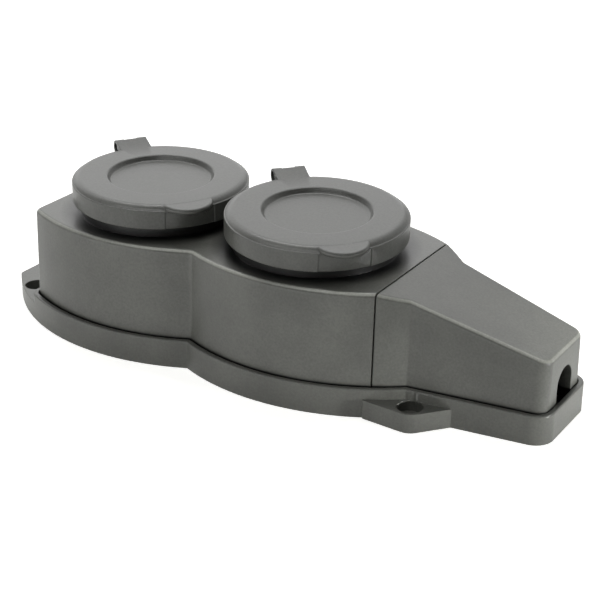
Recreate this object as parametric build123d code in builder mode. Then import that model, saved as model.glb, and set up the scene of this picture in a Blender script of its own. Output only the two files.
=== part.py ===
from build123d import *
import os
from math import cos, radians, sin, sqrt, tan

# Twin weatherproof socket: base tray, socket housing, nose cover, two hinged lids,
# and the inserts, contacts, terminals and fixings inside. Millimetres, +Z up.
# The back of the base lies on Z = 0, +X points to the cable end, and the origin is
# the middle of the overall length.

# Plan sizes along X, taken from the two socket axes
socket_pitch = 60.0
tab_length = 20.8
back_reach = 34.5
split_reach = 33.9
nose_reach = 87.1

# Plan sizes across Y and the outline's radii, at the seam between cover and base
lobe_half_width = 33.6
lobe_radius = 69.4
nose_half_width = 13.7
nose_taper = 6.85
nose_corner = 4.0
waist_corner = 1.2
draft = 2.0

# Heights
base_floor = 3.0
flange_height = 6.2
rim_height = 9.4
housing_top = 39.0
nose_end_top = 25.6

# Walls, edges and gaps of the mouldings
cover_wall = 3.0
rim_wall = 1.6
seam_gap = 0.7
split_gap = 0.5
edge_fillet = 3.0
roof_fillet = 1.5
rim_fillet = 0.5
seat_gap = 0.2
thread_gap = 0.05

# Mounting holes: two in the ears beside the nose, two in the rear tab
mount_hole_r = 2.25
mount_sink_r = 4.0
mount_sink_depth = 3.4
ear_x = 47.3
ear_y = 24.4
ear_radius = 5.0
ear_tip_r = 1.0
ear_root = 11.0
tab_hole_x = 43.8
tab_hole_y = 15.0
tab_corner = 3.0

# Collar and socket insert, for plugs with 4.8 mm pins at 19 mm
collar_wall = 3.0
collar_height = 6.4
collar_chamfer = 1.4
insert_drop = 0.8
insert_chamfer = 0.6
insert_rim = 3.6
insert_wall = 2.5
insert_shoulder = 3.8
recess_r = 19.6
recess_depth = 17.5
insert_floor = 3.0
guide_width = 4.6
guide_depth = 2.2
guide_height = 13.0
pin_spacing = 19.0
pin_hole_gap = 0.45
pad_height = 6.0
pad_r = 3.0

# Contacts
rail_width = 7.2
rail_thickness = 1.0
rib_height = 2.0
rib_width = 3.0
sleeve_r = 2.45
sleeve_wall = 1.15
clip_thickness = 0.8
clip_width = 6.0
clip_gap = 1.2
clip_bow = 1.8
clip_rise = 13.0
clip_bow_rise = 7.8
clip_knee_rise = 1.3

# Terminals, cable slot and cable clamp
block_offset = 4.0
block_length = 14.0
block_height = 11.0
barrier_height = 5.0
barrier_width = 1.6
slot_width = 10.6
slot_height = 10.1
clamp_spacing = 15.6
clamp_length = 7.0
clamp_height = 8.0
clamp_arch_r = 5.0
clamp_post_r = 2.6
clamp_post_height = 11.0
washer_size = 6.4
washer_thickness = 1.0

# Screws
screw_r = 1.75
screw_head_r = 3.2
screw_length = 15.0
pilot_depth = 16.0
boss_r = 4.0
rear_boss_x = 26.0
rear_boss_inset = 8.5
front_boss_x = 27.0
front_boss_inset = 5.6
nose_boss_x = 61.0
nose_boss_inset = 6.0
small_screw_r = 1.5
small_head_r = 2.8
small_head_height = 1.8
screw_slot = 0.8

# Lids, measured in each lid's own tilted frame from the bottom of its skirt
front_azimuth = -41.5
front_tilt = 2.7
rear_azimuth = -34.5
rear_tilt = 1.5
lid_lift = 4.4
lid_gap = 0.7
lid_height = 7.5
lid_plate = 3.2
lid_wall = 1.9
lid_step = 1.4
lid_shoulder = 2.8
lid_ledge = 0.4
ledge_soft = 0.2
dish_margin = 11.4
dish_depth = 1.6
dish_slope = 1.2
dish_soft = 0.9
tab_r = 8.3
tab_overhang = 3.8
tab_thickness = 1.8
tab_drop = 0.1
tab_relief_depth = 0.3
tab_soft = 0.8
seal_inset = 1.0
seal_width = 3.2
seal_thickness = 0.7

# Hinges
hinge_offset = 2.5
hinge_drop = 1.1
barrel_r = 2.6
barrel_width = 10.8
hood_ramp = 6.0
lug_r = 1.7
lug_width = 4.2
lug_foot = 4.6
lug_gap = 0.3
hinge_pin_r = 0.8
hinge_pin_inset = 0.6
hinge_pin_gap = 0.05
hinge_notch = 10.0
hood_bore_r = 1.7
hood_bore_reach = 4.5
hood_bore_depth = 2.2

# Stations along X
tab_reach = back_reach + tab_length
length = tab_reach + socket_pitch + nose_reach
front_x = length / 2 - nose_reach
rear_x = front_x - socket_pitch
waist_x = (front_x + rear_x) / 2
back_x = rear_x - back_reach
split_x = front_x + split_reach
rim_grow = seam_gap + rim_wall
nose_x = front_x + nose_reach - rim_grow
lobe_tail_x = front_x + sqrt(lobe_radius**2 - (lobe_radius - lobe_half_width + nose_half_width) ** 2)
clamp_x = (front_x + nose_boss_x + boss_r + nose_x - cover_wall) / 2
sockets = {"front": front_x, "rear": rear_x}

# Levels of the stacked inner pieces
roof_under = housing_top - cover_wall
collar_top = housing_top + collar_height
insert_top = collar_top - insert_drop
insert_foot = base_floor + pad_height
recess_floor = insert_top - recess_depth
floor_under = recess_floor - insert_floor
rail_z = base_floor + rib_height
rail_top = rail_z + rail_thickness
block_top = base_floor + block_height
block_x = split_x + block_offset
clamp_post_top = base_floor + clamp_post_height
slot_top = rim_height + slot_height

# Radii and reaches about each socket axis
insert_r = recess_r + insert_rim
shoulder_r = insert_r + insert_shoulder
pad_ring_r = shoulder_r - insert_wall / 2
clip_reach = recess_r - clip_gap
pin_hole_r = sleeve_r + pin_hole_gap
collar_r = insert_r + seat_gap + collar_wall
seal_r = collar_r - seal_inset
lid_r = collar_r + lid_gap + lid_wall
dish_r = lid_r - dish_margin
tab_tip = lid_r + tab_overhang
tab_relief = lid_r - tab_relief_depth
hinge_reach = lid_r + hinge_offset
hinge_height = lid_height - hinge_drop
lid_bottom = housing_top + lid_lift

slope = (housing_top - nose_end_top) / (nose_x - split_x)
rail_ys = {"live_rail": pin_spacing / 2, "earth_rail": 0.0, "neutral_rail": -pin_spacing / 2}


def seam_grow(z):
    """Growth of the drafted outline at a height, against its size at the seam."""
    return (rim_height - z) * tan(radians(draft))


def lobe_half(x, socket_x, grow):
    """Half width of one bulged lobe at a station along X."""
    radius = lobe_radius + grow
    return lobe_half_width + grow - radius + sqrt(radius**2 - (x - socket_x) ** 2)


def nose_half(x, grow):
    """Half width of the tapered nose at a station along X."""
    return nose_half_width + (nose_x - x) * tan(radians(nose_taper)) + grow / cos(radians(nose_taper))


def draw_lobe(socket_x, grow, x_from, x_to):
    """Face of one lobe between two stations."""
    middle = (x_from + x_to) / 2
    ends = [lobe_half(x, socket_x, grow) for x in (x_from, middle, x_to)]
    with BuildLine() as outline:
        lower = ThreePointArc((x_from, -ends[0]), (middle, -ends[1]), (x_to, -ends[2]))
        upper = ThreePointArc((x_to, ends[2]), (middle, ends[1]), (x_from, ends[0]))
        Line(lower @ 1, upper @ 0)
        Line(upper @ 1, lower @ 0)
    make_face(outline.edges())


def draw_nose(grow, x_from, x_to):
    """Face of the tapered nose between two stations."""
    with BuildLine() as outline:
        Polyline(
            (x_from, -nose_half(x_from, grow)),
            (x_to, -nose_half(x_to, grow)),
            (x_to, nose_half(x_to, grow)),
            (x_from, nose_half(x_from, grow)),
            close=True,
        )
    make_face(outline.edges())


def draw_housing_plan(grow, x_from, x_to):
    """Two-lobed plan of the housing with a rounded waist."""
    draw_lobe(rear_x, grow, x_from, waist_x)
    draw_lobe(front_x, grow, waist_x, x_to)
    fillet(vertices().filter_by_position(Axis.X, waist_x - seam_gap, waist_x + seam_gap), waist_corner)


def draw_nose_plan(grow, x_from, x_to):
    """Plan of the nose cover: the end of the front lobe and the tapered nose."""
    draw_lobe(front_x, grow, x_from, lobe_tail_x)
    draw_nose(grow, x_from, x_to)
    fillet(vertices().filter_by_position(Axis.X, split_x, lobe_tail_x), waist_corner)


def draw_above_nose(drop):
    """Side view of the space above the nose's sloping roof, lowered by a drop."""
    x_from = split_x - 2 * cover_wall
    x_to = nose_x + cover_wall
    top = housing_top + 2 * cover_wall
    with BuildLine() as outline:
        Polyline(
            (x_from, housing_top - drop - slope * (x_from - split_x)),
            (x_to, housing_top - drop - slope * (x_to - split_x)),
            (x_to, top),
            (x_from, top),
            close=True,
        )
    make_face(outline.edges())


def draw_base_plan(grow):
    """Whole plan of the covers, grown for the base's rim."""
    draw_housing_plan(grow, back_x - grow, lobe_tail_x)
    fillet(vertices().group_by(Axis.X)[0], edge_fillet + grow)
    draw_nose(grow, split_x, nose_x + grow)
    fillet(vertices().group_by(Axis.X)[-1], nose_corner + grow)
    fillet(vertices().filter_by_position(Axis.X, split_x, lobe_tail_x), waist_corner)


def hole_points():
    """Centres of the four mounting holes."""
    ears = [(front_x + ear_x, side * ear_y) for side in (-1, 1)]
    tabs = [(rear_x - tab_hole_x, side * tab_hole_y) for side in (-1, 1)]
    return ears + tabs


def lid_frame(socket_x, azimuth, angle):
    """Plane of a lid's skirt at its azimuth and tilt: X to the thumb tab, Z up through the lid."""
    turn, tilt = radians(azimuth), radians(angle)
    level = Vector(cos(turn), sin(turn), 0)
    front = level * cos(tilt) - Vector(0, 0, sin(tilt))
    up = level * sin(tilt) + Vector(0, 0, cos(tilt))
    return Plane(origin=(socket_x, 0, lid_bottom), x_dir=front, z_dir=up)


def lid_section(frame):
    """Upright plane through a lid's axis and tab, for sections of the lid."""
    return Plane(origin=frame.origin, x_dir=frame.x_dir, z_dir=-frame.y_dir)


def hinge_section(frame):
    """Upright plane across the middle of a lid's hinge: X towards the lid, Y up."""
    centre = frame.from_local_coords(Vector(-hinge_reach, 0, hinge_height))
    return Plane(origin=centre, x_dir=frame.y_dir.cross(Vector(0, 0, 1)), z_dir=-frame.y_dir)


def make_insert(socket_x):
    """Socket insert: plug recess with guides, pin holes and earth slots, on a hollow foot."""
    with BuildPart() as insert:
        with BuildSketch(Plane.XY.offset(insert_foot)):
            with Locations((socket_x, 0)):
                Circle(shoulder_r)
        extrude(amount=roof_under - insert_foot)
        with BuildSketch(Plane.XY.offset(roof_under)):
            with Locations((socket_x, 0)):
                Circle(insert_r)
        extrude(amount=insert_top - roof_under)
        with BuildSketch(Plane.XY.offset(recess_floor)):
            with Locations((socket_x, 0)):
                Circle(recess_r)
        extrude(amount=recess_depth, mode=Mode.SUBTRACT)
        chamfer(insert.faces().sort_by(Axis.Z)[-1].edges(), insert_chamfer)
        with BuildSketch(Plane.XY.offset(insert_foot)):
            with Locations((socket_x, 0)):
                Circle(shoulder_r - insert_wall)
        extrude(amount=floor_under - insert_foot, mode=Mode.SUBTRACT)
        with BuildSketch(Plane.XY.offset(recess_floor)):
            with Locations(*[(socket_x, side * recess_r) for side in (-1, 1)]):
                Rectangle(guide_width, 2 * guide_depth)
        extrude(amount=guide_height)
        with BuildSketch(Plane.XY.offset(floor_under)):
            with Locations(*[(socket_x, side * pin_spacing / 2) for side in (-1, 1)]):
                Circle(pin_hole_r)
            with Locations(*[(socket_x + side * clip_reach, 0) for side in (-1, 1)]):
                Rectangle(clip_thickness + 2 * seat_gap, clip_width + 2 * seat_gap)
        extrude(amount=insert_floor, mode=Mode.SUBTRACT)
    return insert.part


def make_earth_clip(socket_x):
    """Earth clip: a strap under the insert's floor with two sprung legs and a foot on the rail."""
    inner = clip_reach - clip_thickness / 2
    outer = clip_reach + clip_thickness / 2
    tip = recess_floor + clip_rise
    bow = recess_floor + clip_bow_rise
    knee = recess_floor + clip_knee_rise
    with BuildPart() as clip:
        with BuildSketch(Plane(origin=(socket_x, 0, 0), x_dir=(1, 0, 0), z_dir=(0, -1, 0))):
            with BuildLine():
                Polyline(
                    (0, floor_under),
                    (inner, floor_under),
                    (inner, knee),
                    (inner - clip_bow, bow),
                    (inner, tip),
                    (outer, tip),
                    (outer - clip_bow, bow),
                    (outer, knee),
                    (outer, floor_under - clip_thickness),
                    (clip_thickness / 2, floor_under - clip_thickness),
                    (clip_thickness / 2, rail_top),
                    (0, rail_top),
                )
                mirror(about=Plane.YZ)
            make_face()
        extrude(amount=clip_width / 2, both=True)
    return clip.part


def make_lid(frame):
    """Lid with dished top, rounded shoulder, ledge, skirt, thumb tab and hooded hinge barrel."""
    section = lid_section(frame)
    hood_ends = [section.offset(side * (barrel_width - hood_bore_depth) / 2) for side in (-1, 1)]
    under = lid_height - lid_plate
    ledge_z = lid_height - lid_step
    edge_r = lid_r - lid_ledge
    tab_under = lid_height - tab_drop - tab_thickness
    with BuildPart() as lid:
        with BuildSketch(frame.offset(tab_under)):
            with Locations((tab_tip - tab_r, 0)):
                Circle(tab_r)
        extrude(amount=tab_thickness)
        fillet(lid.edges().filter_by(GeomType.CIRCLE), tab_soft)
        with BuildSketch(frame.offset(tab_under)):
            Circle(dish_r + dish_slope)
        extrude(amount=tab_thickness, mode=Mode.SUBTRACT)
        with BuildSketch(section):
            with BuildLine():
                outline = Polyline(
                    (edge_r - lid_shoulder, lid_height),
                    (dish_r, lid_height),
                    (dish_r - dish_slope, lid_height - dish_depth),
                    (0, lid_height - dish_depth),
                    (0, under),
                    (lid_r - lid_wall, under),
                    (lid_r - lid_wall, 0),
                    (lid_r, 0),
                    (lid_r, ledge_z),
                    (edge_r, ledge_z),
                )
                TangentArc(outline @ 0, outline @ 1, tangent=(1, 0))
            make_face()
            fillet(vertices().filter_by_position(Axis.X, dish_r / 2, dish_r + dish_soft), dish_soft)
            fillet(vertices().group_by(Axis.X)[-1].sort_by(Axis.Y)[-1], ledge_soft)
        revolve(axis=Axis(frame.origin, frame.z_dir))
        with BuildSketch(frame):
            with Locations((lid_r, 0)):
                Rectangle(lid_r, 2 * tab_r)
            Circle(tab_relief, mode=Mode.SUBTRACT)
        extrude(amount=tab_under, mode=Mode.SUBTRACT)
        with BuildSketch(frame):
            with Locations((-lid_r, 0)):
                Rectangle(lid_r, 2 * hinge_notch)
        extrude(amount=hinge_height - barrel_r, mode=Mode.SUBTRACT)
        with BuildSketch(section):
            with BuildLine():
                Polyline(
                    (hood_ramp - hinge_reach, lid_height),
                    (-hinge_reach, hinge_height + barrel_r),
                    (-hinge_reach, hinge_height - barrel_r),
                    (hood_ramp - hinge_reach, hinge_height - barrel_r),
                    close=True,
                )
            make_face()
            with Locations((-hinge_reach, hinge_height)):
                Circle(barrel_r)
                Circle(hinge_pin_r + hinge_pin_gap, mode=Mode.SUBTRACT)
        extrude(amount=barrel_width / 2, both=True)
        with BuildSketch(section):
            with Locations((-hinge_reach, hinge_height)):
                Circle(lug_r + lug_gap)
                Rectangle(2 * lug_r + 2 * lug_gap, lid_height, align=(Align.CENTER, Align.MAX))
                Rectangle(lid_height, 2 * lid_height, align=(Align.MAX, Align.CENTER))
        extrude(amount=lug_width / 2 + lug_gap, both=True, mode=Mode.SUBTRACT)
        with BuildSketch(*hood_ends):
            with BuildLine():
                Polyline(
                    (-hinge_reach, hinge_height + hood_bore_r),
                    (-hinge_reach, hinge_height - hood_bore_r),
                    (hood_bore_reach - hinge_reach, hinge_height - hood_bore_r),
                    close=True,
                )
            make_face()
            with Locations((-hinge_reach, hinge_height)):
                Circle(hood_bore_r)
        extrude(amount=hood_bore_depth / 2, both=True, mode=Mode.SUBTRACT)
    return lid.part


def make_seal(frame):
    """Flat ring seal under a lid's plate."""
    with BuildPart() as seal:
        with BuildSketch(frame.offset(lid_height - lid_plate - seal_thickness)):
            Circle(seal_r)
            Circle(seal_r - seal_width, mode=Mode.SUBTRACT)
        extrude(amount=seal_thickness)
    return seal.part


def make_hinge_pin(frame):
    """Straight pin through a lid's barrel and the housing's lug."""
    with BuildPart() as pin:
        with BuildSketch(hinge_section(frame)):
            Circle(hinge_pin_r)
        extrude(amount=barrel_width / 2 - hinge_pin_inset, both=True)
    return pin.part


def make_pan_screws(points, seat_z, depth):
    """Slotted pan-head screws standing on a seat, as one group."""
    with BuildPart() as screws:
        with BuildSketch(Plane.XY.offset(seat_z)):
            with Locations(*points):
                Circle(small_head_r)
        extrude(amount=small_head_height)
        with BuildSketch(Plane.XY.offset(seat_z)):
            with Locations(*points):
                Circle(small_screw_r)
        extrude(amount=-depth)
        with BuildSketch(Plane.XY.offset(seat_z + small_head_height / 2)):
            with Locations(*points):
                Rectangle(2 * small_head_r, screw_slot)
        extrude(amount=small_head_height / 2, mode=Mode.SUBTRACT)
    return screws.part


def make_sunk_screws(points):
    """Slotted countersunk screws driven up from the back of the base, as one group."""
    with BuildPart() as screws:
        for x, y in points:
            with BuildSketch(Plane(origin=(x, y, 0), x_dir=(1, 0, 0), z_dir=(0, -1, 0))):
                with BuildLine():
                    Polyline(
                        (0, seat_gap),
                        (screw_head_r, seat_gap),
                        (screw_r, seat_gap + screw_head_r - screw_r),
                        (screw_r, base_floor + screw_length),
                        (0, base_floor + screw_length),
                        close=True,
                    )
                make_face()
            revolve(axis=Axis((x, y, 0), (0, 0, 1)))
        with BuildSketch(Plane.XY.offset(seat_gap)):
            with Locations(*points):
                Rectangle(2 * screw_head_r, screw_slot)
        extrude(amount=screw_slot, mode=Mode.SUBTRACT)
    return screws.part


def save(part, name):
    """Label a finished piece and write its file."""
    part.label = name
    export_step(part, f"parts/{name}.step")


lid_frames = {
    "front": lid_frame(front_x, front_azimuth, front_tilt),
    "rear": lid_frame(rear_x, rear_azimuth, rear_tilt),
}

# Fixing screws: four into the housing, two into the nose cover
rear_boss_y = lobe_half(rear_x - rear_boss_x, rear_x, 0) - rear_boss_inset
front_boss_y = lobe_half(front_x + front_boss_x, front_x, 0) - front_boss_inset
nose_boss_y = nose_half(front_x + nose_boss_x, 0) - nose_boss_inset
rear_bosses = [(rear_x - rear_boss_x, side * rear_boss_y) for side in (-1, 1)]
front_bosses = [(front_x + front_boss_x, side * front_boss_y) for side in (-1, 1)]
housing_bosses = rear_bosses + front_bosses
nose_bosses = [(front_x + nose_boss_x, side * nose_boss_y) for side in (-1, 1)]
terminals = [(block_x + block_length / 2, y) for y in rail_ys.values()]
clamp_posts = [(clamp_x, side * clamp_spacing / 2) for side in (-1, 1)]

os.makedirs("parts", exist_ok=True)

# Base tray with its rim, ears, rear tab and inner supports
with BuildPart() as base:
    with BuildSketch():
        draw_base_plan(rim_grow)
    extrude(amount=rim_height)
    with BuildSketch():
        draw_lobe(rear_x, rim_grow, rear_x - tab_reach, rear_x)
        fillet(vertices().group_by(Axis.X)[0], tab_corner)
    extrude(amount=flange_height)
    for side in (-1, 1):
        with BuildSketch():
            ear_end_x = front_x + ear_x + ear_root
            with BuildLine():
                CenterArc((front_x + ear_x, side * ear_y), ear_radius, 0, 360)
                CenterArc((split_x, side * lobe_half(split_x, front_x, rim_grow)), ear_tip_r, 0, 360)
                Line((front_x + ear_x, 0), (ear_end_x, side * nose_half(ear_end_x, rim_grow)))
            make_hull()
        extrude(amount=flange_height)
    with BuildSketch(Plane.XY.offset(base_floor)):
        draw_base_plan(seam_gap)
    extrude(amount=rim_height, mode=Mode.SUBTRACT)
    fillet(base.faces().sort_by(Axis.Z)[-1].outer_wire().edges(), rim_fillet)
    with Locations(*[(x, y, flange_height) for x, y in hole_points()]):
        CounterBoreHole(mount_hole_r, mount_sink_r, mount_sink_depth, depth=flange_height)
    for x in sockets.values():
        with BuildSketch(Plane.XY.offset(base_floor)):
            with Locations((x, 0)):
                with PolarLocations(pad_ring_r, 4, start_angle=45):
                    Circle(pad_r)
        extrude(amount=pad_height)
    with BuildSketch(Plane.XY.offset(base_floor)):
        with Locations((rear_x, 0), (waist_x, 0), (front_x, 0)):
            Rectangle(rib_width, pin_spacing + rail_width)
    extrude(amount=rib_height)
    with BuildSketch(Plane.XY.offset(base_floor)):
        with Locations(*clamp_posts):
            Circle(clamp_post_r)
    extrude(amount=clamp_post_top - base_floor)
    with Locations(*[(x, y, clamp_post_top) for x, y in clamp_posts]):
        Hole(small_screw_r + thread_gap, depth=clamp_post_top - base_floor)
    back_plane = Plane(origin=(0, 0, 0), x_dir=(1, 0, 0), z_dir=(0, 0, -1))
    with Locations(back_plane):
        with Locations(*[(x, -y) for x, y in housing_bosses + nose_bosses]):
            CounterSinkHole(screw_r + seat_gap, screw_head_r + seat_gap, depth=base_floor)

# Socket housing with collars, hinge lugs and screw bosses
with BuildPart() as housing:
    with BuildSketch(Plane.XY.offset(base_floor)):
        draw_housing_plan(seam_grow(base_floor), back_x - cover_wall, split_x + cover_wall)
    extrude(amount=housing_top - base_floor, taper=draft)
    split(bisect_by=Plane.YZ.offset(back_x - seam_gap / 2), keep=Keep.TOP)
    fillet(housing.faces().sort_by(Axis.X)[0].edges().sort_by(Axis.Z)[1:3], edge_fillet)
    fillet(housing.faces().sort_by(Axis.Z)[-1].edges().sort_by(Axis.X)[:-1], roof_fillet)
    split(bisect_by=Plane.YZ.offset(split_x), keep=Keep.BOTTOM)
    with BuildSketch(Plane.XY.offset(base_floor)):
        draw_housing_plan(seam_grow(base_floor) - cover_wall, back_x + cover_wall, split_x - cover_wall)
    extrude(amount=roof_under - base_floor, taper=draft, mode=Mode.SUBTRACT)
    with BuildSketch(Plane.XY.offset(base_floor)):
        with Locations((split_x - cover_wall / 2, 0)):
            Rectangle(2 * cover_wall, pin_spacing + 2 * rail_width)
    extrude(amount=insert_foot - base_floor, mode=Mode.SUBTRACT)
    with BuildSketch(Plane.XY.offset(housing_top)):
        with Locations(*[(x, 0) for x in sockets.values()]):
            Circle(collar_r)
    extrude(amount=collar_height)
    chamfer(housing.faces().sort_by(Axis.Z)[-2:].edges(), collar_chamfer)
    with BuildSketch(Plane.XY.offset(roof_under)):
        with Locations(*[(x, 0) for x in sockets.values()]):
            Circle(insert_r + seat_gap)
    extrude(amount=cover_wall + collar_height, mode=Mode.SUBTRACT)
    with BuildSketch(Plane.XY.offset(base_floor)):
        with Locations(*housing_bosses):
            Circle(boss_r)
    extrude(amount=roof_under - base_floor)
    with BuildSketch(Plane.XY.offset(base_floor)):
        with Locations(*housing_bosses):
            Circle(screw_r + thread_gap)
    extrude(amount=pilot_depth, mode=Mode.SUBTRACT)
    for frame in lid_frames.values():
        across = hinge_section(frame)
        post_height = across.origin.Z - housing_top
        with BuildSketch(across):
            with BuildLine():
                Polyline(
                    (lug_r, 0),
                    (lug_r, -post_height),
                    (lug_r - lug_foot, -post_height),
                    (-lug_r, 0),
                    close=True,
                )
            make_face()
            Circle(lug_r)
            Circle(hinge_pin_r + hinge_pin_gap / 2, mode=Mode.SUBTRACT)
        extrude(amount=lug_width / 2, both=True)

# Space inside the nose cover
with BuildPart() as nose_space:
    with BuildSketch(Plane.XY.offset(base_floor)):
        draw_nose_plan(seam_grow(base_floor) - cover_wall, split_x - cover_wall, nose_x - cover_wall)
    extrude(amount=housing_top - base_floor, taper=draft)
    with BuildSketch(Plane.XZ):
        draw_above_nose(cover_wall)
    extrude(amount=lobe_half_width, both=True, mode=Mode.SUBTRACT)

# Nose cover over the terminals, with the cable slot in its end
with BuildPart() as nose_cover:
    with BuildSketch(Plane.XY.offset(base_floor)):
        draw_nose_plan(seam_grow(base_floor), split_x - cover_wall, nose_x + cover_wall)
    extrude(amount=housing_top + cover_wall - base_floor, taper=draft)
    split(bisect_by=Plane.YZ.offset(nose_x + seam_gap / 2), keep=Keep.BOTTOM)
    with BuildSketch(Plane.XZ):
        draw_above_nose(0)
    extrude(amount=lobe_half_width, both=True, mode=Mode.SUBTRACT)
    fillet(nose_cover.faces().sort_by(Axis.X)[-1].edges().sort_by(Axis.Z)[1:3], nose_corner)
    nose_roof = nose_cover.faces().sort_by(Axis.Z)[-1]
    fillet(nose_roof.edges().sort_by(Axis.X)[1:], roof_fillet)
    split(bisect_by=Plane.YZ.offset(split_x + split_gap), keep=Keep.TOP)
    add(nose_space.part, mode=Mode.SUBTRACT)
    for x, y in nose_bosses:
        with BuildSketch(Plane.XY.offset(base_floor)):
            with Locations((x, y)):
                Circle(boss_r)
        extrude(amount=housing_top - slope * (x - split_x) - cover_wall - base_floor)
    with BuildSketch(Plane.XY.offset(base_floor)):
        with Locations(*nose_bosses):
            Circle(screw_r + thread_gap)
    extrude(amount=pilot_depth, mode=Mode.SUBTRACT)
    with BuildSketch(Plane.YZ.offset(nose_x - cover_wall - seam_gap)):
        with Locations((0, (slot_top - slot_width / 2) / 2)):
            Rectangle(slot_width, slot_top - slot_width / 2)
        with Locations((0, slot_top - slot_width / 2)):
            Circle(slot_width / 2)
    extrude(amount=cover_wall + 2 * seam_gap, mode=Mode.SUBTRACT)

save(base.part, "base")
save(housing.part, "housing")
save(nose_cover.part, "nose_cover")

# Socket inserts, earth clips, lids, lid seals and hinge pins, one of each per socket
for name, socket_x in sockets.items():
    save(make_insert(socket_x), f"insert_{name}")
    save(make_earth_clip(socket_x), f"earth_clip_{name}")
    save(make_lid(lid_frames[name]), f"lid_{name}")
    save(make_seal(lid_frames[name]), f"lid_seal_{name}")
    save(make_hinge_pin(lid_frames[name]), f"hinge_pin_{name}")

# Contact rails from the sockets to the terminals
for name, rail_y in rail_ys.items():
    with BuildPart() as rail:
        with BuildSketch(Plane.XZ.offset(-rail_y)):
            with BuildLine():
                Polyline(
                    (rear_x - rail_width, rail_z),
                    (block_x, rail_z),
                    (block_x, block_top),
                    (block_x + block_length, block_top),
                    (block_x + block_length, block_top + rail_thickness),
                    (block_x - rail_thickness, block_top + rail_thickness),
                    (block_x - rail_thickness, rail_top),
                    (rear_x - rail_width, rail_top),
                    close=True,
                )
            make_face()
        extrude(amount=rail_width / 2, both=True)
        with Locations((block_x + block_length / 2, rail_y, block_top + rail_thickness)):
            Hole(small_screw_r + thread_gap, depth=rail_thickness)
        if rail_y:
            with BuildSketch(Plane.XY.offset(rail_top)):
                with Locations(*[(x, rail_y) for x in sockets.values()]):
                    Circle(sleeve_r + sleeve_wall)
                    Circle(sleeve_r, mode=Mode.SUBTRACT)
            extrude(amount=floor_under - rail_top)
    save(rail.part, name)

# Terminal block with barriers between its three ways
with BuildPart() as terminal_block:
    with BuildSketch(Plane.XY.offset(base_floor)):
        with Locations((block_x + block_length / 2, 0)):
            Rectangle(block_length, pin_spacing + rail_width)
    extrude(amount=block_height)
    with BuildSketch(Plane.XY.offset(block_top)):
        with Locations(*[(block_x + block_length / 2, side * pin_spacing / 4) for side in (-1, 1)]):
            Rectangle(block_length, barrier_width)
    extrude(amount=barrier_height)
    with Locations(*[(x, y, block_top) for x, y in terminals]):
        Hole(small_screw_r + thread_gap, depth=block_height)
save(terminal_block.part, "terminal_block")

# Square clamping washers on the terminals
with BuildPart() as terminal_clamps:
    with BuildSketch(Plane.XY.offset(block_top + rail_thickness)):
        with Locations(*terminals):
            Rectangle(washer_size, washer_size)
            Circle(small_screw_r + thread_gap, mode=Mode.SUBTRACT)
    extrude(amount=washer_thickness)
save(terminal_clamps.part, "terminal_clamps")
terminal_seat = block_top + rail_thickness + washer_thickness
save(make_pan_screws(terminals, terminal_seat, block_height), "terminal_screws")

# Cable clamp bar on its two posts
with BuildPart() as cable_clamp:
    with BuildSketch(Plane.YZ.offset(clamp_x)):
        with Locations((0, clamp_post_top + clamp_height / 2)):
            Rectangle(clamp_spacing + 2 * clamp_post_r, clamp_height)
        with Locations((0, clamp_post_top)):
            Circle(clamp_arch_r, mode=Mode.SUBTRACT)
    extrude(amount=clamp_length / 2, both=True)
    with Locations(*[(x, y, clamp_post_top + clamp_height) for x, y in clamp_posts]):
        Hole(small_screw_r + thread_gap, depth=clamp_height)
save(cable_clamp.part, "cable_clamp")
clamp_depth = clamp_height + clamp_post_top - base_floor - small_head_height
save(make_pan_screws(clamp_posts, clamp_post_top + clamp_height, clamp_depth), "clamp_screws")

# Countersunk screws through the base into the covers
save(make_sunk_screws(housing_bosses), "housing_screws")
save(make_sunk_screws(nose_bosses), "nose_screws")
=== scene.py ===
from math import cos, radians, sin

import bpy
import numpy as np
from mathutils import Matrix, Vector


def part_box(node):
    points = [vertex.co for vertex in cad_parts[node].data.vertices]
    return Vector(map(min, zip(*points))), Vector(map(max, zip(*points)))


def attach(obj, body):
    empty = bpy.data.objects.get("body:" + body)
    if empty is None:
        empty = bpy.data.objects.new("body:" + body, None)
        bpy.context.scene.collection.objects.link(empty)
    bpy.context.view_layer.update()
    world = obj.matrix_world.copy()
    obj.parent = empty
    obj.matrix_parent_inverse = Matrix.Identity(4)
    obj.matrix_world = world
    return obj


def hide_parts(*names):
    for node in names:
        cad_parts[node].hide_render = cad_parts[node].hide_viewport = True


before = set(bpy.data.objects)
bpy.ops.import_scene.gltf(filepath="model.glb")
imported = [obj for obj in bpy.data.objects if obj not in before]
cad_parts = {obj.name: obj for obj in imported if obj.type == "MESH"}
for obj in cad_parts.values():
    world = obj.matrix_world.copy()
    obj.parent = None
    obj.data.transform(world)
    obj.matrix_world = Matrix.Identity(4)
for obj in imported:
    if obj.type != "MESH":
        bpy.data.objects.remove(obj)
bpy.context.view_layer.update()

bl_info = {
    "name": "Double weatherproof socket",
    "version": (1, 0, 0),
    "blender": (4, 5, 0),
    "location": "View3D > Sidebar > Socket",
    "description": "Finishes the double weatherproof socket and sets its studio",
    "category": "Object",
}

MM = 0.001

# Corners of the CAD triangles are merged on a grid of this step
MERGE_STEP = 0.001 * MM

# Middles of the two sockets along the length, from their inserts
SOCKET_XS = [(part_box(name)[0][0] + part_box(name)[1][0]) / 2 for name in ("insert_front", "insert_rear")]

# Depths under the roof's plane at which the painted black shade starts and is full
ROOF_BLACK = (1.0 * MM, 0.1 * MM)
# Depths at which the painted edge highlight starts, is full, starts to fade and ends, as shares of the
# rounding
EDGE_HIGHLIGHT_DEPTHS = (0.03, 0.12, 0.35, 0.6)

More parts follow.
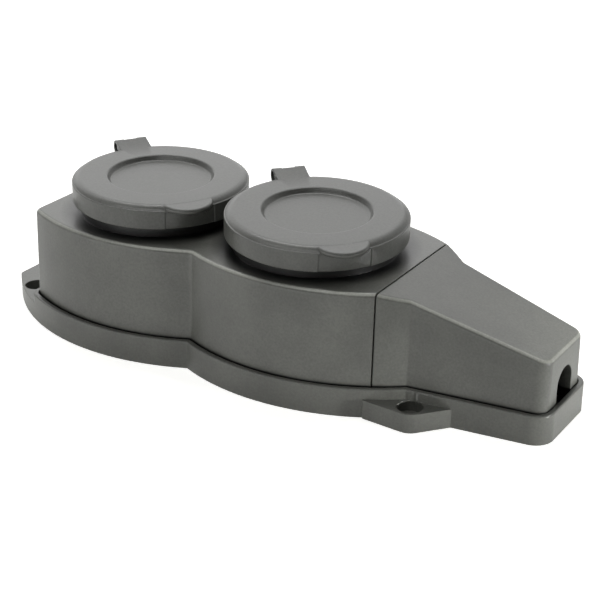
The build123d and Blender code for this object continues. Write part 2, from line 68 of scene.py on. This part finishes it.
# Widths of the surface patterns, and the heights of their bumps
CLOUD_WIDTH = 22 * MM
GRAIN_HEIGHT = 0.05 * MM
FLECK_WIDTH = 0.8 * MM
FLECK_HEIGHT = 0.04 * MM
BRASS_STREAK = 1.2 * MM
ZINC_STREAK = 2 * MM
# A streak's width as a share of its length, which runs along X
STREAK_SHARE = 0.12

# Inputs of a map range: the span of most noise values, and a result that falls from 1 to 0
NOISE_SPAN = {"From Min": 0.3, "From Max": 0.7}
FALLING = {"To Min": 1.0, "To Max": 0.0}

# Studio light: what the floor gains where it is seen, the share of that in a gloss, and the sky's light
FLOOR_LIFT = 0.8
FLOOR_MIRRORED = 0.6
SKY_LIGHT = 0.045
# Level direction of the backdrop, and the cosines to it at which a gloss starts to see it and sees it whole
BACKDROP_SIDE = (-0.574, 0.819, 0)
BACKDROP_START = -0.2
BACKDROP_WHOLE = 0.4
# Share of the backdrop's white that a gloss sees in the dark room away from it
ROOM_MIRRORED = 0.05
# Each lamp's place and aim in metres, width, height, watts and, where it is narrow, its beam in degrees
LAMPS = {
    "backdrop_lamp": ((-0.672, 0.773, 0.8), (0, 0, 0), 1.6, 1.6, 7.2),
    "key_lamp": ((-0.12, 0.34, 1.05), (0, 0.34, 0), 0.14, 1.0, 4.6),
    "ceiling_lamp": ((-0.1, -0.45, 0.85), (-0.05, -0.45, 0), 0.08, 0.9, 2.6),
    "front_strip_lamp": ((-0.2, -0.6, 0.02), (0, 0, 0.02), 1.2, 0.04, 1.4),
    "cable_end_lamp": ((0.6, 0.02, 0.03), (0.101, 0, 0.004), 0.06, 0.06, 0.016, 8),
}

# Camera fitted to the photograph: place in metres, then azimuth, elevation and roll in degrees
CAMERA_PLACE = (0.243086, -0.382369, 0.222752)
CAMERA_ANGLES = (31.573, 24.477, 0.355)
# Width of its sensor in millimetres, and the nearest distance in metres that it shows
SENSOR_WIDTH = 36
CLIP_START = 0.01


def linear(hex_colour):
    """An sRGB hex colour as linear red, green and blue."""
    srgb = np.array([int(hex_colour[i:i + 2], 16) for i in (1, 3, 5)]) / 255
    return tuple(np.where(srgb <= 0.04045, srgb / 12.92, ((srgb + 0.055) / 1.055) ** 2.4))


def add_node(tree, kind, inputs=None, **settings):
    """Add a node, set its properties, and fill its sockets with values or links."""
    node = tree.nodes.new(kind)
    for name, value in settings.items():
        setattr(node, name, value)
    for socket, value in (inputs or {}).items():
        if isinstance(value, bpy.types.NodeSocket):
            tree.links.new(value, node.inputs[socket])
        else:
            node.inputs[socket].default_value = value
    return node


def blank_material(name):
    """A material with an empty node tree."""
    material = bpy.data.materials.new(name)
    material.use_nodes = True
    material.node_tree.nodes.clear()
    return material


def opaque(colour):
    """A linear colour with full alpha, as colour sockets take it."""
    return (*colour, 1.0)


def shaded(colour, factor):
    """A linear colour made lighter or darker by a factor, with full alpha."""
    return opaque([channel * factor for channel in colour])


def seen_rays(tree, mirrored_share):
    """1 for camera rays, a share for rays from a gloss or a clear material, 0 for those that light."""
    rays = add_node(tree, "ShaderNodeLightPath")
    bent = add_node(
        tree,
        "ShaderNodeMath",
        {0: rays.outputs["Is Glossy Ray"], 1: rays.outputs["Is Transmission Ray"]},
        operation="MAXIMUM",
    )
    shown = add_node(tree, "ShaderNodeMath", {0: bent.outputs[0], 1: mirrored_share}, operation="MULTIPLY")
    seen = add_node(
        tree,
        "ShaderNodeMath",
        {0: rays.outputs["Is Camera Ray"], 1: shown.outputs[0]},
        operation="MAXIMUM",
    )
    return seen.outputs[0]


def painted_lid_shade(tree, place, look):
    """1 where shadow is painted on the roof and collars under the lids, fading to 0 around them and below
    the roof.
    """
    flat = add_node(tree, "ShaderNodeVectorMath", {0: place, 1: (1, 1, 0)}, operation="MULTIPLY")
    reaches = [
        add_node(
            tree,
            "ShaderNodeVectorMath",
            {0: flat.outputs["Vector"], 1: (x, 0, 0)},
            operation="DISTANCE",
        ).outputs["Value"]
        for x in SOCKET_XS
    ]
    nearest = add_node(tree, "ShaderNodeMath", {0: reaches[0], 1: reaches[1]}, operation="MINIMUM")
    ring = add_node(
        tree,
        "ShaderNodeMapRange",
        {
            "Value": nearest.outputs[0],
            "From Min": look.shelter,
            "From Max": look.shelter + look.fade,
            **FALLING,
        },
    )
    height = add_node(tree, "ShaderNodeSeparateXYZ", {"Vector": place}).outputs["Z"]
    # The walls under the roof's rounded edge get none of the painted shade.
    start, full = ROOF_BLACK
    roof = add_node(
        tree,
        "ShaderNodeMapRange",
        {"Value": height, "From Min": look.roof - start, "From Max": look.roof - full},
    )
    both = {0: ring.outputs["Result"], 1: roof.outputs["Result"]}
    return add_node(tree, "ShaderNodeMath", both, operation="MULTIPLY").outputs[0]


def painted_rim_shade(tree, place, look):
    """1 where shade is painted on the walls that stand inside the base's rim, fading to 0 just above it."""
    height = add_node(tree, "ShaderNodeSeparateXYZ", {"Vector": place}).outputs["Z"]
    inside = add_node(
        tree,
        "ShaderNodeMapRange",
        {"Value": height, "From Min": look.rim, "From Max": look.rim + look.rim_shade_fade, **FALLING},
    )
    return inside.outputs["Result"]


def painted_edge_highlight(tree, place, look, fall, height):
    """1 on a roof's rounded edge, where a highlight is painted, fading to 0 at the flat roof and at the
    walls.

    The mask reads the depth under the roof's plane, whose height is `height - fall * x`.
    """
    along = add_node(tree, "ShaderNodeVectorMath", {0: place, 1: (-fall, 0, -1)}, operation="DOT_PRODUCT")
    depth = add_node(tree, "ShaderNodeMath", {0: along.outputs["Value"], 1: height}, operation="ADD")
    start, full, fading, end = (share * look.rounding for share in EDGE_HIGHLIGHT_DEPTHS)
    upper = add_node(
        tree,
        "ShaderNodeMapRange",
        {"Value": depth.outputs[0], "From Min": start, "From Max": full},
    )
    lower = add_node(
        tree,
        "ShaderNodeMapRange",
        {"Value": depth.outputs[0], "From Min": fading, "From Max": end, **FALLING},
    )
    both = {0: upper.outputs["Result"], 1: lower.outputs["Result"]}
    return add_node(tree, "ShaderNodeMath", both, operation="MULTIPLY").outputs[0]


def rubber_tone(tree, place, cloud, grain, colour, look, roof, painted_shades):
    """A rubber's colour, clouded and speckled, with a painted highlight on roof edges and painted black
    shade.
    """
    patches = add_node(
        tree,
        "ShaderNodeMapRange",
        {"Value": cloud, **NOISE_SPAN, "To Min": 0.8, "To Max": 1.2},
    )
    speckle = add_node(
        tree,
        "ShaderNodeMapRange",
        {"Value": grain, **NOISE_SPAN, "To Min": 0.88, "To Max": 1.12},
    )
    both = {0: patches.outputs["Result"], 1: speckle.outputs["Result"]}
    shade = add_node(tree, "ShaderNodeMath", both, operation="MULTIPLY")
    # Painted highlight: the roof's rounded edges are made paler
    if roof:
        highlight_factor = add_node(
            tree,
            "ShaderNodeMapRange",
            {"Value": painted_edge_highlight(tree, place, look, *roof), "To Min": 1.0, "To Max": look.edge_highlight_gain},
        )
        both = {0: shade.outputs[0], 1: highlight_factor.outputs["Result"]}
        shade = add_node(tree, "ShaderNodeMath", both, operation="MULTIPLY")
    tone = add_node(
        tree,
        "ShaderNodeVectorMath",
        {0: tuple(colour), "Scale": shade.outputs[0]},
        operation="SCALE",
    ).outputs["Vector"]
    # Painted shade: black mixed in under the lids and above the rim
    for shelter in painted_shades:
        tone = add_node(
            tree,
            "ShaderNodeMix",
            {0: shelter(tree, place, look), 6: tone, 7: opaque(look.painted_shade_colour)},
            data_type="RGBA",
        ).outputs[2]
    return tone


def moulded_rubber(name, colour, look, roof=None, painted_shades=()):
    """Rubber from a spark-eroded mould, matte with a fine even grain.

    The eye gets a soft broad sheen, a cloudy grey where the mould released, and edges that the
    rubber rounds off by itself. A highlight is painted paler on the roof's edges, and shade is
    painted black on the roof and collars under the lids and on the walls inside the base's rim.
    """
    material = blank_material(name)
    tree = material.node_tree
    place = add_node(tree, "ShaderNodeTexCoord").outputs["Object"]
    # Release clouding: broad patches, with finer ones inside them.
    cloud = add_node(
        tree,
        "ShaderNodeTexNoise",
        {"Vector": place, "Scale": 1 / CLOUD_WIDTH, "Detail": 3.0, "Roughness": 0.55},
    ).outputs["Fac"]
    # The eroded grain is about 0.1 mm, drawn coarser so that it shows.
    grain = add_node(
        tree,
        "ShaderNodeTexNoise",
        {"Vector": place, "Scale": 1 / look.grain, "Detail": 2.0, "Roughness": 0.6},
    ).outputs["Fac"]
    sheen = add_node(
        tree,
        "ShaderNodeMapRange",
        {"Value": cloud, **NOISE_SPAN, "To Min": 0.3, "To Max": 0.4},
    )
    edge = add_node(tree, "ShaderNodeBevel", {"Radius": look.edge}, samples=6)
    bump = add_node(
        tree,
        "ShaderNodeBump",
        {
            "Strength": 0.5,
            "Distance": GRAIN_HEIGHT,
            "Height": grain,
            "Normal": edge.outputs["Normal"],
        },
    )
    shader = add_node(
        tree,
        "ShaderNodeBsdfPrincipled",
        {
            "Base Color": rubber_tone(tree, place, cloud, grain, colour, look, roof, painted_shades),
            "Roughness": sheen.outputs["Result"],
            "IOR": 1.52,
            "Normal": bump.outputs["Normal"],
        },
    )
    add_node(tree, "ShaderNodeOutputMaterial", {"Surface": shader.outputs["BSDF"]})
    return material


def moulded_polyamide(name, colour):
    """Glass-filled polyamide as moulded: dark, a little shiny, with pale fibre flecks."""
    material = blank_material(name)
    tree = material.node_tree
    place = add_node(tree, "ShaderNodeTexCoord").outputs["Object"]
    # Fibres are about 0.3 mm long, drawn as coarser flecks so that they show.
    flecks = add_node(
        tree,
        "ShaderNodeTexNoise",
        {"Vector": place, "Scale": 1 / FLECK_WIDTH, "Detail": 2.0, "Roughness": 0.7},
    )
    tone = add_node(
        tree,
        "ShaderNodeMix",
        {0: flecks.outputs["Fac"], 6: shaded(colour, 0.75), 7: shaded(colour, 1.3)},
        data_type="RGBA",
    )
    bump = add_node(
        tree,
        "ShaderNodeBump",
        {"Strength": 0.25, "Distance": FLECK_HEIGHT, "Height": flecks.outputs["Fac"]},
    )
    shader = add_node(
        tree,
        "ShaderNodeBsdfPrincipled",
        {
            "Base Color": tone.outputs[2],
            "Roughness": 0.45,
            "IOR": 1.53,
            "Normal": bump.outputs["Normal"],
        },
    )
    add_node(tree, "ShaderNodeOutputMaterial", {"Surface": shader.outputs["BSDF"]})
    return material


def worked_metal(name, colour, roughness, streak):
    """Bare metal with rolling or plating marks: tone and gloss shift along fine streaks."""
    material = blank_material(name)
    tree = material.node_tree
    place = add_node(tree, "ShaderNodeTexCoord").outputs["Object"]
    stretch = add_node(tree, "ShaderNodeMapping", {"Vector": place, "Scale": (STREAK_SHARE, 1.0, 1.0)})
    marks = add_node(
        tree,
        "ShaderNodeTexNoise",
        {"Vector": stretch.outputs["Vector"], "Scale": 1 / streak, "Detail": 4.0, "Roughness": 0.6},
    )
    tone = add_node(
        tree,
        "ShaderNodeMix",
        {0: marks.outputs["Fac"], 6: shaded(colour, 0.82), 7: shaded(colour, 1.08)},
        data_type="RGBA",
    )
    gloss = add_node(
        tree,
        "ShaderNodeMapRange",
        {
            "Value": marks.outputs["Fac"],
            **NOISE_SPAN,
            "To Min": roughness - 0.08,
            "To Max": roughness + 0.1,
        },
    )
    shader = add_node(
        tree,
        "ShaderNodeBsdfPrincipled",
        {"Base Color": tone.outputs[2], "Metallic": 1.0, "Roughness": gloss.outputs["Result"]},
    )
    add_node(tree, "ShaderNodeOutputMaterial", {"Surface": shader.outputs["BSDF"]})
    return material


def finish_nodes(names, material):
    """Give CAD nodes a finish in place of their plain one."""
    for name in names:
        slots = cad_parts[name].data.materials
        slots.clear()
        slots.append(material)


def smooth_copy(name, body, material, angle):
    """Stand a smooth-shaded copy in for a CAD node.

    Corners of the loose triangles that share a rounded position become one vertex, and an
    edge stays sharp where its two faces turn by more than the angle. Elsewhere a vertex takes its
    normal from its faces by their areas and corners, so that large flat faces stay flat.
    """
    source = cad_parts[name].data
    source.calc_loop_triangles()
    points = np.empty(3 * len(source.vertices))
    source.vertices.foreach_get("co", points)
    points = points.reshape(-1, 3)
    corners = np.empty(3 * len(source.loop_triangles), dtype=int)
    source.loop_triangles.foreach_get("vertices", corners)
    steps = np.round(points / MERGE_STEP)
    _, first, merged = np.unique(steps, axis=0, return_index=True, return_inverse=True)
    faces = merged.reshape(-1)[corners].reshape(-1, 3)
    solid = (faces[:, 0] != faces[:, 1]) & (faces[:, 1] != faces[:, 2]) & (faces[:, 2] != faces[:, 0])
    mesh = bpy.data.meshes.new(name + "_moulding")
    mesh.from_pydata(points[first], [], faces[solid])
    mesh.shade_smooth()
    mesh.set_sharp_from_angle(angle=angle)
    mesh.materials.append(material)
    piece = bpy.data.objects.new(name + "_moulding", mesh)
    bpy.context.scene.collection.objects.link(piece)
    weighting = piece.modifiers.new("flat_faces_stay_flat", "WEIGHTED_NORMAL")
    weighting.mode = "FACE_AREA_WITH_ANGLE"
    weighting.keep_sharp = True
    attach(piece, body)
    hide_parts(name)


class SocketLook(bpy.types.PropertyGroup):
    """Colours and surface sizes of the socket."""

    shell: bpy.props.FloatVectorProperty(
        name="Shell",
        description="Colour of the base, housing and nose cover",
        subtype="COLOR",
        default=linear("#5b5c57"),
    )
    lid: bpy.props.FloatVectorProperty(
        name="Lids", description="Colour of the two lids", subtype="COLOR", default=linear("#555652")
    )
    # Black painted as shade under the lids and above the rim
    painted_shade_colour: bpy.props.FloatVectorProperty(
        name="Sheltered",
        description="Colour of the rubber that the lids and the rim shelter",
        subtype="COLOR",
        default=linear("#151514"),
    )
    roof: bpy.props.FloatProperty(
        name="Roof", description="Height of the housing's flat roof", unit="LENGTH", default=39 * MM
    )
    rim: bpy.props.FloatProperty(
        name="Rim", description="Height of the base's rim", unit="LENGTH", default=9.4 * MM
    )
    # Height over which the painted shade above the rim fades out
    rim_shade_fade: bpy.props.FloatProperty(
        name="Soiling",
        description="Height over which the black fades above the rim",
        unit="LENGTH",
        default=0.5 * MM,
    )
    rounding: bpy.props.FloatProperty(
        name="Rounding", description="Radius of the roof's rounded edges", unit="LENGTH", default=1.5 * MM
    )
    # How many times paler the painted highlight makes the roof's edges
    edge_highlight_gain: bpy.props.FloatProperty(
        name="Rubbing", description="How many times paler the roof's edges are", default=2.8
    )
    nose_end: bpy.props.FloatProperty(
        name="Nose end",
        description="Height of the nose's roof at its end",
        unit="LENGTH",
        default=25.6 * MM,
    )
    # Radius and fade of the shadow painted around each lid's socket
    shelter: bpy.props.FloatProperty(
        name="Shelter",
        description="Radius that a lid shelters around its socket",
        unit="LENGTH",
        default=28.5 * MM,
    )
    fade: bpy.props.FloatProperty(
        name="Fade",
        description="Width over which the black fades around a lid",
        unit="LENGTH",
        default=5 * MM,
    )
    seal: bpy.props.FloatVectorProperty(
        name="Seals", description="Colour of the lid seals", subtype="COLOR", default=linear("#2b2b2a")
    )
    insert: bpy.props.FloatVectorProperty(
        name="Inserts",
        description="Colour of the socket inserts, terminal block and cable clamp",
        subtype="COLOR",
        default=linear("#3a3b3c"),
    )
    brass: bpy.props.FloatVectorProperty(
        name="Brass", description="Colour of the contacts", subtype="COLOR", default=linear("#d9b671")
    )
    zinc: bpy.props.FloatVectorProperty(
        name="Zinc", description="Colour of the plated steel", subtype="COLOR", default=linear("#c6c9cd")
    )
    grain: bpy.props.FloatProperty(
        name="Rubber grain", description="Size of the moulded grain", unit="LENGTH", default=0.7 * MM
    )
    edge: bpy.props.FloatProperty(
        name="Edge softness",
        description="Radius of the rubber's own edges",
        unit="LENGTH",
        default=0.35 * MM,
    )
    crease: bpy.props.FloatProperty(
        name="Crease angle",
        description="Faces that turn by more than this meet in a sharp edge",
        subtype="ANGLE",
        default=radians(40),
    )


class SocketStage(bpy.types.PropertyGroup):
    """Sizes and colours of the studio."""

    floor_width: bpy.props.FloatProperty(
        name="Floor width", description="Width of the square floor", unit="LENGTH", default=8.0
    )
    floor_colour: bpy.props.FloatVectorProperty(
        name="Floor", description="Colour of the floor", subtype="COLOR", default=linear("#f4f4f2")
    )
    lens: bpy.props.FloatProperty(
        name="Lens", description="Focal length of the camera", unit="CAMERA", default=92.345
    )


class SOCKET_OT_shell(bpy.types.Operator):
    """Mould the base, the housing and the nose cover"""

    bl_idname = "socket.shell"
    bl_label = "Shell"

    def execute(self, context):
        look = context.scene.socket_look
        base = moulded_rubber("moulded_rubber_base", look.shell, look)
        smooth_copy("base", "body", base, look.crease)
        # Painted shade under the lids and above the rim, and a painted highlight on the roof's edges
        painted_shades = (painted_lid_shade, painted_rim_shade)
        housing = moulded_rubber("moulded_rubber_housing", look.shell, look, (0, look.roof), painted_shades)
        smooth_copy("housing", "body", housing, look.crease)
        # The nose's roof falls evenly from its highest edge, at the housing, to its end.
        low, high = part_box("nose_cover")
        fall = (high[2] - look.nose_end) / (high[0] - low[0])
        roof = (fall, high[2] + fall * low[0])
        # The nose gets the painted edge highlight and the painted shade above the rim.
        nose = moulded_rubber("moulded_rubber_nose", look.shell, look, roof, (painted_rim_shade,))
        smooth_copy("nose_cover", "body", nose, look.crease)
        return {"FINISHED"}


class SOCKET_OT_lids(bpy.types.Operator):
    """Mould the two lids and their seals"""

    bl_idname = "socket.lids"
    bl_label = "Lids"

    def execute(self, context):
        look = context.scene.socket_look
        rubber = moulded_rubber("moulded_rubber_lid", look.lid, look)
        smooth_copy("lid_front", "lid_front_body", rubber, look.crease)
        smooth_copy("lid_rear", "lid_rear_body", rubber, look.crease)
        seal = moulded_rubber("moulded_rubber_seal", look.seal, look)
        finish_nodes(("lid_seal_front", "lid_seal_rear"), seal)
        return {"FINISHED"}


class SOCKET_OT_inserts(bpy.types.Operator):
    """Mould the inserts, the terminal block and the cable clamp"""

    bl_idname = "socket.inserts"
    bl_label = "Inserts"

    def execute(self, context):
        plastic = moulded_polyamide("moulded_polyamide", context.scene.socket_look.insert)
        for name in ("insert_front", "insert_rear"):
            smooth_copy(name, "body", plastic, context.scene.socket_look.crease)
        finish_nodes(("terminal_block", "cable_clamp"), plastic)
        return {"FINISHED"}


class SOCKET_OT_contacts(bpy.types.Operator):
    """Stamp the rails and earth clips"""

    bl_idname = "socket.contacts"
    bl_label = "Contacts"

    def execute(self, context):
        # Rolled strip: fairly bright, with streaks along the rails.
        colour = context.scene.socket_look.brass
        brass = worked_metal("stamped_brass", colour, roughness=0.32, streak=BRASS_STREAK)
        names = ("live_rail", "neutral_rail", "earth_rail", "earth_clip_front", "earth_clip_rear")
        finish_nodes(names, brass)
        return {"FINISHED"}


class SOCKET_OT_fixings(bpy.types.Operator):
    """Plate the pins, clamping washers and screws"""

    bl_idname = "socket.fixings"
    bl_label = "Fixings"

    def execute(self, context):
        # Zinc plate: duller, with broader marks.
        colour = context.scene.socket_look.zinc
        zinc = worked_metal("zinc_plated_steel", colour, roughness=0.4, streak=ZINC_STREAK)
        screws = ("terminal_screws", "clamp_screws", "housing_screws", "nose_screws")
        finish_nodes(("hinge_pin_front", "hinge_pin_rear", "terminal_clamps", *screws), zinc)
        return {"FINISHED"}


class SOCKET_OT_stage(bpy.types.Operator):
    """Set the floor, the lights and the camera"""

    bl_idname = "socket.stage"
    bl_label = "Stage"

    def execute(self, context):
        scene = context.scene
        scene.view_settings.view_transform = "Standard"
        self.set_floor(scene)
        self.set_lights(scene)
        self.set_camera(scene)
        return {"FINISHED"}

    def set_floor(self, scene):
        """A flat square floor, white to the camera except in the shadow."""
        stage = scene.socket_stage
        half = stage.floor_width / 2
        across, along = np.meshgrid((-half, half), (-half, half))
        corners = np.stack((across, along, np.zeros((2, 2))), axis=-1).reshape(-1, 3)
        mesh = bpy.data.meshes.new("floor")
        mesh.from_pydata(corners, [], [(0, 1, 3, 2)])
        floor = bpy.data.objects.new("floor", mesh)
        scene.collection.objects.link(floor)
        material = blank_material("studio_paper")
        tree = material.node_tree
        paper = add_node(tree, "ShaderNodeBsdfDiffuse", {"Color": opaque(stage.floor_colour)})
        level = add_node(
            tree, "ShaderNodeMapRange", {"Value": seen_rays(tree, FLOOR_MIRRORED), "To Max": FLOOR_LIFT}
        )
        glow = add_node(
            tree,
            "ShaderNodeEmission",
            {"Color": opaque(stage.floor_colour), "Strength": level.outputs["Result"]},
        )
        lift = add_node(
            tree, "ShaderNodeAddShader", {0: paper.outputs["BSDF"], 1: glow.outputs["Emission"]}
        )
        add_node(tree, "ShaderNodeOutputMaterial", {"Surface": lift.outputs["Shader"]})
        mesh.materials.append(material)

    def set_lights(self, scene):
        """A world that is white to the camera and, in a gloss, towards the backdrop, and the lamps."""
        world = bpy.data.worlds.new("studio")
        scene.world = world
        world.use_nodes = True
        tree = world.node_tree
        tree.nodes.clear()
        facing = add_node(
            tree,
            "ShaderNodeVectorMath",
            {0: add_node(tree, "ShaderNodeTexCoord").outputs["Generated"], 1: BACKDROP_SIDE},
            operation="DOT_PRODUCT",
        )
        backdrop = add_node(
            tree,
            "ShaderNodeMapRange",
            {
                "Value": facing.outputs["Value"],
                "From Min": BACKDROP_START,
                "From Max": BACKDROP_WHOLE,
                "To Min": ROOM_MIRRORED,
                "To Max": 1.0,
            },
        )
        level = add_node(
            tree,
            "ShaderNodeMapRange",
            {"Value": seen_rays(tree, backdrop.outputs["Result"]), "To Min": SKY_LIGHT, "To Max": 1.0},
        )
        sky = add_node(tree, "ShaderNodeBackground", {"Strength": level.outputs["Result"]})
        add_node(tree, "ShaderNodeOutputWorld", {"Surface": sky.outputs["Background"]})
        for name, values in LAMPS.items():
            self.add_lamp(scene, name, *values)

    def add_lamp(self, scene, name, place, aim, width, height, power, spread=180):
        """An area lamp at a place, turned towards a point, with its beam's spread in degrees."""
        lamp = bpy.data.lights.new(name, "AREA")
        lamp.shape = "RECTANGLE"
        lamp.size = width
        lamp.size_y = height
        lamp.energy = power
        lamp.spread = radians(spread)
        holder = bpy.data.objects.new(name, lamp)
        holder.visible_camera = False
        turn = (Vector(place) - Vector(aim)).to_track_quat("Z", "Y")
        holder.matrix_world = Matrix.Translation(place) @ turn.to_matrix().to_4x4()
        scene.collection.objects.link(holder)

    def set_camera(self, scene):
        """The camera at the measured place, azimuth, elevation and roll."""
        azimuth, elevation, roll = (radians(angle) for angle in CAMERA_ANGLES)
        back = Vector((sin(azimuth) * cos(elevation), -cos(azimuth) * cos(elevation), sin(elevation)))
        right = Vector((cos(azimuth), sin(azimuth), 0))
        up = back.cross(right)
        side = right * cos(roll) + up * sin(roll)
        top = up * cos(roll) - right * sin(roll)
        camera = bpy.data.cameras.new("camera")
        camera.lens = scene.socket_stage.lens
        camera.sensor_width = SENSOR_WIDTH
        camera.clip_start = CLIP_START
        holder = bpy.data.objects.new("camera", camera)
        turn = Matrix((side, top, back)).transposed().to_4x4()
        holder.matrix_world = Matrix.Translation(CAMERA_PLACE) @ turn
        scene.collection.objects.link(holder)
        scene.camera = holder


OPERATORS = (
    SOCKET_OT_shell,
    SOCKET_OT_lids,
    SOCKET_OT_inserts,
    SOCKET_OT_contacts,
    SOCKET_OT_fixings,
    SOCKET_OT_stage,
)


class SOCKET_PT_sidebar(bpy.types.Panel):
    """The socket's steps and values in the sidebar"""

    bl_idname = "SOCKET_PT_sidebar"
    bl_label = "Double socket"
    bl_space_type = "VIEW_3D"
    bl_region_type = "UI"
    bl_category = "Socket"

    def draw(self, context):
        for group in (context.scene.socket_look, context.scene.socket_stage):
            for name in group.__annotations__:
                self.layout.prop(group, name)
        for operator in OPERATORS:
            self.layout.operator(operator.bl_idname)


CLASSES = (SocketLook, SocketStage, *OPERATORS, SOCKET_PT_sidebar)


def register():
    for cls in CLASSES:
        bpy.utils.register_class(cls)
    bpy.types.Scene.socket_look = bpy.props.PointerProperty(type=SocketLook)
    bpy.types.Scene.socket_stage = bpy.props.PointerProperty(type=SocketStage)


def unregister():
    del bpy.types.Scene.socket_stage
    del bpy.types.Scene.socket_look
    for cls in reversed(CLASSES):
        bpy.utils.unregister_class(cls)


def main():
    register()
    bpy.ops.socket.shell()
    bpy.ops.socket.lids()
    bpy.ops.socket.inserts()
    bpy.ops.socket.contacts()
    bpy.ops.socket.fixings()
    bpy.ops.socket.stage()


if __name__ == "__main__":
    main()
